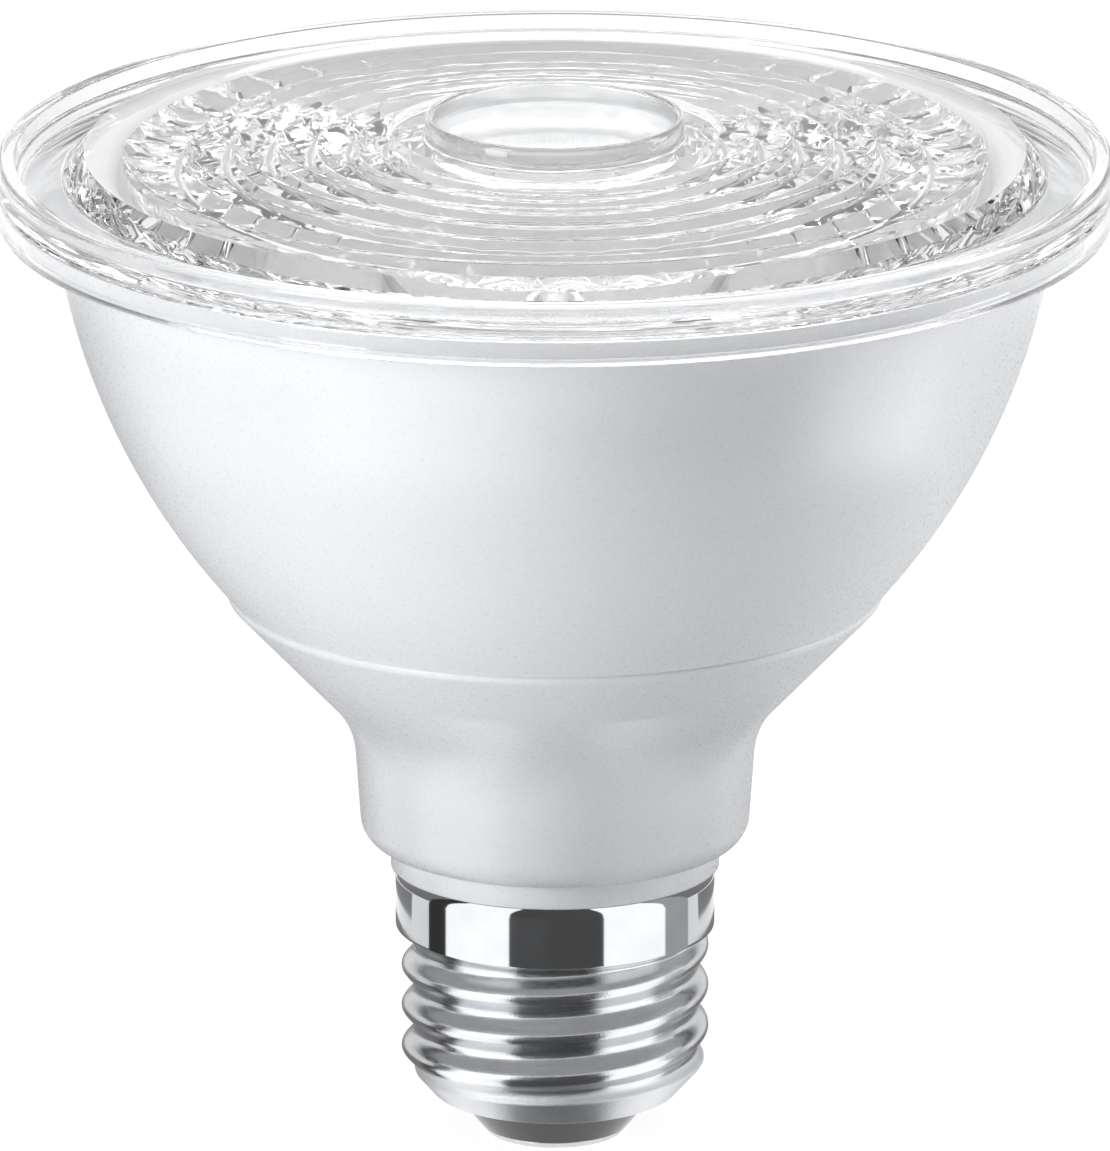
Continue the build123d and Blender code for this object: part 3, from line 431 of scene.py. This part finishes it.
green_lacquer = plain_finish("green_lacquer", (0.17, 0.34, 0.28), (0.23, 0.42, 0.35), 1500, 0.3, 0.45)
red_insulation = plain_finish("red_insulation", (0.55, 0.03, 0.03), (0.65, 0.05, 0.05), 1500, 0.4, 0.55)
black_insulation = plain_finish("black_insulation", (0.03, 0.03, 0.03), (0.05, 0.05, 0.05), 1500, 0.4, 0.55)
white_insulation = plain_finish("white_insulation", (0.82, 0.82, 0.8), (0.88, 0.88, 0.86), 1500, 0.4, 0.55)
dress("driver_board", green_mask)
dress("transformer_core", ferrite)
dress("line_choke", ferrite)
dress("transformer_bobbin", black_moulding)
dress("transformer_winding", winding_tape)
dress("bulk_capacitor", can_sleeve)
dress("output_capacitor", can_sleeve)
dress("film_capacitor", amber_case)
dress("bridge_rectifier", chip_epoxy)
dress("controller_chip", chip_epoxy)
dress("fuse_resistor", green_lacquer)
dress("led_lead_positive", red_insulation)
dress("led_lead_negative", black_insulation)
dress("neutral_lead", black_insulation)
dress("line_lead", white_insulation)

# Front lens: one clear acrylic moulding. Its top is a dome of shallow ring steps round a frosted cup, with a
# gutter inside the rim; below, six ring prisms are cut into flat triangles that throw the light forward.
# The rim sits over the bowl's flange and is welded to it.
rim_top, rim_radius, rim_bore, rim_foot, seat = 87.0, 47.5, 46.0, 81.6, 83.5
moat_radius, rings_radius, band_radius, optic_radius = 14.1, 31.2, 36.8, 40.1
cup_radius, cup_outside, cup_top, cup_floor, moat_floor = 10.4, 11.1, 90.5, 87.1, 88.5
dome_rise, dome_fall, ring_step = 2.55, 2.25, 0.15
gutter_radius, gutter_floor = 42.0, 85.35
groove_level, groove_half, groove_depth, rim_skirt_bore = 84.4, 0.15, 0.15, 45.3
pocket_radius, pocket_depth, core_tip = 10.2, 1.8, 79.5


def zipped(ring, after):
    """Triangles between two rings of unlike counts: going round, each next point on either ring is joined to
    the last point passed on the other. A ring is an array of point numbers and one of their angles."""
    (first, angle), (second, angle_after) = ring, after
    latest = (np.searchsorted(angle_after, angle, "right") - 1) % len(second)
    upper = np.stack([np.roll(first, 1), second[latest], first], axis=1)
    latest = (np.searchsorted(angle, angle_after, "left") - 1) % len(first)
    lower = np.stack([first[latest], np.roll(second, 1), second], axis=1)
    return np.vstack([upper, lower])


def ring_of(first, count):
    """Numbers and angles of the points on a ring that starts at point number first."""
    return first + np.arange(count), np.arange(count) * math.tau / count


def prism_rows(inner, outer):
    """One ring prism as rows of points from its outer foot to its inner foot. The outer belt falls to the tip
    in two rows of flat facets: halfway down, its points stand out and in by turns, square to the slope, so
    that diamonds show. The number of facets round the ring is even."""
    width, facet_width, slope = outer - inner, 2.8, 1.05
    cells = 2 * round(math.pi * outer / facet_width)
    angle = np.arange(cells) * math.tau / cells
    pleat = 0.09 * width * np.where(np.arange(cells) % 2 == 0, 1, -1)
    foot, tip, depth = outer - 0.15, inner + 0.65, slope * width
    radius = np.array([foot, (foot + tip) / 2, tip, inner + 0.3, inner])[:, None] * np.ones(cells)
    level = np.array([seat, seat - depth / 2, seat - depth, seat - depth, seat])[:, None] * np.ones(cells)
    radius[1] += pleat
    level[1] -= pleat / slope
    return np.stack([radius * np.cos(angle), radius * np.sin(angle), level], axis=2)


widths = 1.06 ** np.arange(5)
rings = moat_radius + (rings_radius - moat_radius) * np.cumsum(widths) / widths.sum()
edges = np.concatenate([[moat_radius], rings, [band_radius, optic_radius]])
dome = rim_top + dome_rise - dome_fall * (edges / optic_radius) ** 2
step_starts = np.stack([edges[:-1], dome[:-1]], axis=1)
step_ends = np.stack([edges[1:], dome[1:] + ring_step], axis=1)
steps = np.stack([step_starts, step_ends], axis=1).reshape(-1, 2)
share = np.linspace(0, 1, 14)[:, None]
cup_wall = (1 - share) ** 2 * [6.0, cup_floor] + 2 * share * (1 - share) * [9.96, 87.15]
cup_wall = cup_wall + share**2 * [cup_radius, 90.15]
top_corners = np.vstack(
    [
        cup_wall,
        [(cup_radius, cup_top), (cup_outside, cup_top), (cup_outside, moat_floor), (moat_radius, moat_floor)],
        steps,
        [(gutter_radius, gutter_floor), (rim_bore, gutter_floor), (rim_bore, rim_top)],
        [(rim_radius, rim_top), (rim_radius, groove_level + groove_half)],
        [(rim_radius - groove_depth, groove_level), (rim_radius, groove_level - groove_half)],
        [(rim_radius, rim_foot), (rim_skirt_bore, rim_foot), (rim_skirt_bore, seat), (36.75, seat)],
    ]
)
cup_rounds, lip_rounds, step_rounds = np.full(14, 0.05), [0.3, 0.3, 0.25, 0.2], np.full(14, 0.035)
rim_rounds = [0.4, 0.3, 0.12, 0.45, 0.05, 0.05, 0.05, 0.25, 0.25, 0.15, 0.05]
top_rounds = np.concatenate([cup_rounds, lip_rounds, step_rounds, rim_rounds])
top_outline = rounded(top_corners, top_rounds, 4)[6:-7]
top_columns, core_columns = 360, 180
top_rows = round_rows(np.vstack([[(0.02, cup_floor)], top_outline]), top_columns)
share = np.linspace(1, 0.002, 16)
pocket = np.stack([pocket_radius * share, seat - pocket_depth * (1 - share**2)], axis=1)
core = rounded(
    [(14.05, 84.5), (13.65, seat), (12.45, core_tip), (10.5, core_tip), (pocket_radius, seat), (9.0, 83.2)],
    [0, 0.1, 0.2, 0.2, 0.1, 0],
)[7:-8]
core_rows = round_rows(np.vstack([core, pocket[1:]]), core_columns)
blocks = [top_rows, *[prism_rows(a, b) for a, b in zip(edges[5::-1], edges[6:0:-1])], core_rows]
starts = np.cumsum([0] + [block.shape[0] * block.shape[1] for block in blocks])
lens_points = np.vstack([block.reshape(-1, 3) for block in blocks])
flat, smooth = [], []
for block, start in zip(blocks, starts):
    faces = skin(block, False)[1] + start
    if block is top_rows or block is core_rows:
        smooth.append(faces)
        continue
    cells = block.shape[1]
    upper, lower = faces[:cells], faces[cells : 2 * cells]
    rising, falling = ([0, 1, 3], [1, 2, 3]), ([0, 1, 2], [0, 2, 3])
    flat += [upper[::2][:, half] for half in rising] + [upper[1::2][:, half] for half in falling]
    flat += [lower[::2][:, half] for half in falling] + [lower[1::2][:, half] for half in rising]
    smooth.append(faces[2 * cells :])
joins = []
for block, after, start, start_after in zip(blocks, blocks[1:], starts, starts[1:]):
    count = block.shape[1]
    last_ring = ring_of(start + (block.shape[0] - 1) * count, count)
    joins.append(zipped(last_ring, ring_of(start_after, after.shape[1])))
cup_ring, pocket_ring = np.arange(top_columns), len(lens_points) - core_columns + np.arange(core_columns)
cup_pole, pocket_pole = np.full(top_columns, len(lens_points)), np.full(core_columns, len(lens_points) + 1)
cup_fan = np.stack([cup_pole, cup_ring, np.roll(cup_ring, -1)], axis=1)
pocket_fan = np.stack([pocket_pole, np.roll(pocket_ring, -1), pocket_ring], axis=1)
lens_points = np.vstack([lens_points, [(0, 0, cup_floor), (0, 0, seat - pocket_depth)]])
smooth = [face for faces in [*smooth, *joins, cup_fan, pocket_fan] for face in faces.tolist()]
flat = [face for faces in flat for face in faces.tolist()]
pip_radius, pip_level, pip_across, pip_forward = 0.4, 87.7, 29.82, 20.88
slope = np.radians(np.linspace(90, 22, 8))
pip_outline = np.stack([0.002 + pip_radius * np.cos(slope), pip_level + pip_radius * np.sin(slope)], axis=1)
pip_points, pip_faces = capped(round_rows(pip_outline, 24))
for side in (-1, 1):
    smooth += [[corner + len(lens_points) for corner in face] for face in pip_faces]
    lens_points = np.vstack([lens_points, pip_points + [side * pip_across, -pip_forward, 0]])

acrylic = new_finish("clear_acrylic", Transmission_Weight=1.0, IOR=1.49, Roughness=0.0)
tint(acrylic, 60, (1.0, 1.0, 1.0), (0.985, 0.99, 0.995), 0)

frosted = new_finish("frosted_acrylic", Transmission_Weight=1.0, IOR=1.49, Base_Color=(0.9, 0.91, 0.92, 1))
sheen(frosted, 400, 0.45, 0.55)
across = node_of(frosted, "ShaderNodeVectorMath", {0: place_of(frosted), 1: (1, 1, 0)}, operation="MULTIPLY")
across = across.outputs["Vector"]
radius = node_of(frosted, "ShaderNodeVectorMath", {0: across}, operation="LENGTH").outputs["Value"]
on_floor = node_of(frosted, "ShaderNodeMath", {0: radius, 1: 0.0058}, operation="LESS_THAN").outputs["Value"]
dots = node_of(frosted, "ShaderNodeTexVoronoi", {"Vector": across, "Scale": 2200.0, "Randomness": 0.3})
dots = {0: dots.outputs["Distance"], 1: on_floor}
stipple = node_of(frosted, "ShaderNodeMath", dots, operation="MULTIPLY")
relief(frosted, stipple.outputs["Value"], 0.00012, 0.6)

lens = make_piece("prism_lens", lens_points, [*smooth, *flat], "front_lens", "clear_plastic", acrylic)
lens.data.materials.append(frosted)
count = len(lens.data.polygons)
lens.data.polygons.foreach_set("use_smooth", np.arange(count) < len(smooth))
middles = np.empty(3 * count)
lens.data.polygons.foreach_get("center", middles)
middles = middles.reshape(-1, 3) * 1000
in_cup = (np.hypot(middles[:, 0], middles[:, 1]) < cup_radius) & (middles[:, 2] > cup_floor - 0.2)
lens.data.polygons.foreach_set("material_index", in_cup.astype(np.int32))
lens.data.set_sharp_from_angle(angle=math.radians(35))

# Stage: a white paper floor under a white sky; the floor shows white to the camera and keeps a faint shadow.
# Three soft panels light the lamp. Cards that glow by their own light stand round it where a photographer
# would set reflectors and flags. Only reflections and the lens see them, so their glow is painted reflection,
# bright and dark, in the plated cap and the prisms. Two glowing cards on the floor also light the housing
# from below.


def seen_white(tree):
    """1 for rays from the camera, off a mirror or through glass, and 0 for light that falls on a surface."""
    path = tree.nodes.new("ShaderNodeLightPath")
    total = tree.nodes.new("ShaderNodeMath")
    total.operation = "ADD"
    tree.links.new(path.outputs["Is Camera Ray"], total.inputs[0])
    tree.links.new(path.outputs["Is Glossy Ray"], total.inputs[1])
    whole = tree.nodes.new("ShaderNodeMath")
    whole.operation = "ADD"
    whole.use_clamp = True
    tree.links.new(total.outputs["Value"], whole.inputs[0])
    tree.links.new(path.outputs["Is Transmission Ray"], whole.inputs[1])
    return whole.outputs["Value"]


world = bpy.data.worlds.new("studio")
bpy.context.scene.world = world
world.use_nodes = True
sky = world.node_tree.nodes["Background"]
sky.inputs["Color"].default_value = (1, 1, 1, 1)
level = world.node_tree.nodes.new("ShaderNodeMapRange")
level.inputs["To Min"].default_value = 0.05
level.inputs["To Max"].default_value = 1.0
world.node_tree.links.new(seen_white(world.node_tree), level.inputs["Value"])
world.node_tree.links.new(level.outputs["Result"], sky.inputs["Strength"])

floor_finish = bpy.data.materials.new("floor")
floor_finish.use_nodes = True
tree = floor_finish.node_tree
tree.nodes.remove(tree.nodes["Principled BSDF"])
paper = tree.nodes.new("ShaderNodeBsdfDiffuse")
paper.inputs["Color"].default_value = (0.25, 0.25, 0.25, 1)
glow = tree.nodes.new("ShaderNodeEmission")
glow.inputs["Strength"].default_value = 0.92
glowing_paper = tree.nodes.new("ShaderNodeAddShader")
tree.links.new(paper.outputs["BSDF"], glowing_paper.inputs[0])
tree.links.new(glow.outputs["Emission"], glowing_paper.inputs[1])
either = tree.nodes.new("ShaderNodeMixShader")
tree.links.new(seen_white(tree), either.inputs["Fac"])
tree.links.new(paper.outputs["BSDF"], either.inputs[1])
tree.links.new(glowing_paper.outputs["Shader"], either.inputs[2])
tree.links.new(either.outputs["Shader"], tree.nodes["Material Output"].inputs["Surface"])
floor_mesh = bpy.data.meshes.new("floor")
floor_mesh.from_pydata([(-3, -3, 0), (3, -3, 0), (3, 3, 0), (-3, 3, 0)], [], [(0, 1, 2, 3)])
floor_mesh.materials.append(floor_finish)
floor = bpy.data.objects.new("floor", floor_mesh)
bpy.context.scene.collection.objects.link(floor)


def card(name, profile, first, last, shade, lights=False, through=False):
    """Card of one brightness, swept round the lamp from one turn to another, in degrees as the camera sees
    them, left being negative: each (reach, height) of the profile, in millimetres, runs along
    x = reach sin(turn), y = -reach cos(turn). A card that lights throws its light on every surface, and one
    that shows through is seen in the lens; any other is only mirrored."""
    columns = 2 + abs(last - first) // 4
    turn = np.radians(np.linspace(first, last, columns))
    reach, height = 0.001 * np.asarray(profile, float).T
    level = np.outer(height, np.ones(columns))
    rows = np.stack([np.outer(reach, np.sin(turn)), -np.outer(reach, np.cos(turn)), level], axis=2)
    corner = (np.arange(len(profile) - 1)[:, None] * columns + np.arange(columns - 1)).reshape(-1)
    faces = np.stack([corner, corner + 1, corner + columns + 1, corner + columns], axis=1)
    mesh = bpy.data.meshes.new(name)
    mesh.from_pydata(rows.reshape(-1, 3).tolist(), [], faces.tolist())
    paint = new_finish(name, Base_Color=(0, 0, 0, 1), Specular_IOR_Level=0)
    shader = paint.node_tree.nodes["Principled BSDF"]
    shader.inputs["Emission Color"].default_value = (1, 1, 1, 1)
    # Every card glows by its own light at this strength. A card that is only mirrored puts a painted
    # reflection, bright or dark, into the cap, the housing and the prisms.
    shader.inputs["Emission Strength"].default_value = shade
    if not lights:
        paint.cycles.emission_sampling = "NONE"
    mesh.materials.append(paint)
    flag = bpy.data.objects.new(name, mesh)
    flag.visible_camera = flag.visible_shadow = False
    flag.visible_diffuse = lights
    flag.visible_transmission = through
    bpy.context.scene.collection.objects.link(flag)


# Glowing cards seen only in reflections or through the lens: painted reflections, white where they glow
# brightly and dark where they barely glow.
folded = [(9, 0.4), (66, 0.4), (66, 35)]
tall_wall = [(900, 300), (900, 1000)]
card("front_flag", folded, -30, 32, 0.1)
card("left_glowing_card", folded, -78, -30, 1.7)
card("right_glowing_card", folded, 32, 79, 1.7)
card("left_flag", folded, -95, -78, 0.05)
card("right_grey", folded, 79, 103, 0.5)
card("back_grey", [(9, 0.4), (66, 0.4)], 103, 265, 0.25)
card("lid_edge", [(66, 35), (60, 38)], -95, 103, 1.5)
card("lid", [(60, 38), (20, 44)], -180, 180, 0.45)
card("front_table", [(72, 0.4), (170, 0.4)], 8, 52, 0.02)
card("left_room", tall_wall, -165, -105, 0.03, through=True)
card("right_room", tall_wall, 105, 165, 0.03, through=True)
card("front_room", [(2300, 0.5), (2300, 1500)], -70, 70, 0.08, through=True)
card("back_table", [(72, 0.4), (230, 0.4)], 118, 242, 0.3, through=True)
card("left_bounce", [(72, 0.6), (155, 0.6)], -55, -6, 3.4, lights=True)
card("right_bounce", [(72, 0.6), (180, 0.6)], 62, 100, 4.2, lights=True)


def panel(name, turn, height, reach, wide, tall, power):
    """Soft light panel at a turn round the lamp, as the camera sees it, facing the middle of the bowl."""
    lamp = bpy.data.lights.new(name, "AREA")
    lamp.shape, lamp.size, lamp.size_y, lamp.energy = "RECTANGLE", wide, tall, power
    light = bpy.data.objects.new(name, lamp)
    turn = math.radians(turn)
    light.location = reach * math.sin(turn), -reach * math.cos(turn), height
    aim = light.location.copy()
    aim.z -= 0.05
    light.rotation_euler = aim.to_track_quat("Z", "Y").to_euler()
    bpy.context.scene.collection.objects.link(light)


panel("left_panel", -48, 0.08, 0.6, 0.2, 0.6, 3.1)
panel("right_panel", 96, 0.08, 0.6, 0.2, 0.6, 2.2)
panel("top_panel", 180, 0.7, 0.2, 0.6, 0.6, 2.8)

# Camera: a long lens 2 m away, looking down on the lamp by 16.5 degrees.
# The frame is 95 mm wide at the lamp's axis, as wide as the lens is.
distance, frame_width, aim_height, tilt = 2.0, 0.095, 0.0496, math.radians(16.5)
camera = bpy.data.cameras.new("camera")
camera.sensor_fit = "HORIZONTAL"
camera.sensor_width = 36.0
camera.lens = camera.sensor_width * distance / frame_width
camera.clip_end = 20.0
viewer = bpy.data.objects.new("camera", camera)
viewer.location = 0, -distance * math.cos(tilt), aim_height + distance * math.sin(tilt)
viewer.rotation_euler = math.pi / 2 - tilt, 0, 0
bpy.context.scene.collection.objects.link(viewer)
bpy.context.scene.camera = viewer
bpy.context.scene.view_settings.view_transform = "Standard"
bpy.context.scene.cycles.max_bounces = 20
bpy.context.scene.cycles.diffuse_bounces = 3
bpy.context.scene.cycles.transmission_bounces = 16
bpy.context.scene.cycles.glossy_bounces = 16
